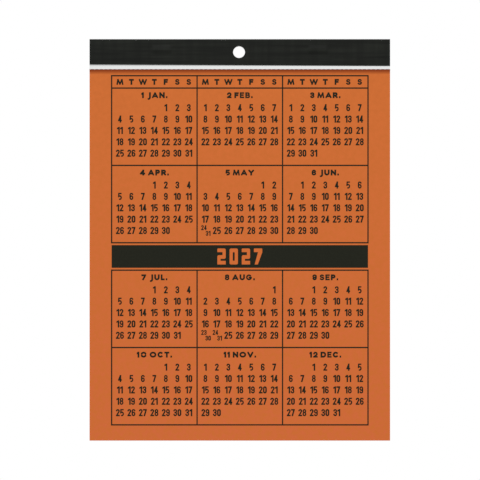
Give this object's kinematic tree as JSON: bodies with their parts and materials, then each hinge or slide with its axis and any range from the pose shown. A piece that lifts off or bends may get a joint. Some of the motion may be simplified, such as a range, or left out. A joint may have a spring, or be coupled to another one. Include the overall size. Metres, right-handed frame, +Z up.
{
  "type": "wall calendar",
  "caption": "Wall calendar with a year sheet over perforated month leaves and a board, bound at the head by a folded tape with a punched hanging hole.",
  "frame": {"origin": "centre of the hanging hole, in the plane of the wall, which is the back face of the binding tape", "axes": "+Z up along the sheet's height, +Y into the wall along the hole's axis, +X to the viewer's right; the print faces -Y"},
  "size_m": [0.265, 0.0038, 0.354],
  "materials": {
    "board": "matt grey board",
    "white_paper": "uncoated",
    "orange_paper": "uncoated, printed solid orange below the tear-off line",
    "tape": "black bookbinding tape with a fine grain",
    "staple_wire": "plain flat wire",
    "black_ink": "matt black print"
  },
  "bodies": {
    "root": {"backing_board": "board", "month_leaves": "white_paper", "cover_sheet": "orange_paper", "binding_tape": "tape", "staple_left": "staple_wire", "staple_right": "staple_wire", "printed_rules": "black_ink", "printed_year_band": "black_ink", "printed_headings": "black_ink", "printed_day_marks": "black_ink"}
  },
  "joints": []
}
